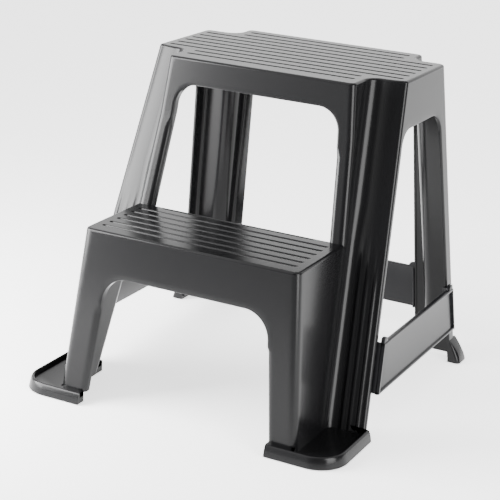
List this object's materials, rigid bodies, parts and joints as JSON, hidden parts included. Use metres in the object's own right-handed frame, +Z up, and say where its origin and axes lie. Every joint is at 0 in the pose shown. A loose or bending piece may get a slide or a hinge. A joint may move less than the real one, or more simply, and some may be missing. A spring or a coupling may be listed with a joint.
{
  "type": "two-step stool",
  "caption": "Glossy black moulded two-step stool with grooved treads, fluted splayed legs, arched openings, clip-on leg braces and rubber foot pads.",
  "frame": {"origin": "centre of the footprint's bounding box, on the floor", "axes": "+Z up to the treads; the lower step is on the -Y side, so a user steps on facing +Y; +X is the user's right"},
  "size_m": [0.4742, 0.4696, 0.43],
  "materials": {
    "body": "glossy anthracite black injection-moulded polypropylene",
    "brace": "semi-gloss anthracite black injection-moulded polypropylene",
    "pad": "matt black soft rubber"
  },
  "bodies": {
    "root": {"stool_body": "body", "left_brace": "brace", "right_brace": "brace", "rear_brace": "brace", "front_left_foot_pad": "pad", "front_right_foot_pad": "pad", "rear_left_foot_pad": "pad", "rear_right_foot_pad": "pad"}
  },
  "joints": []
}
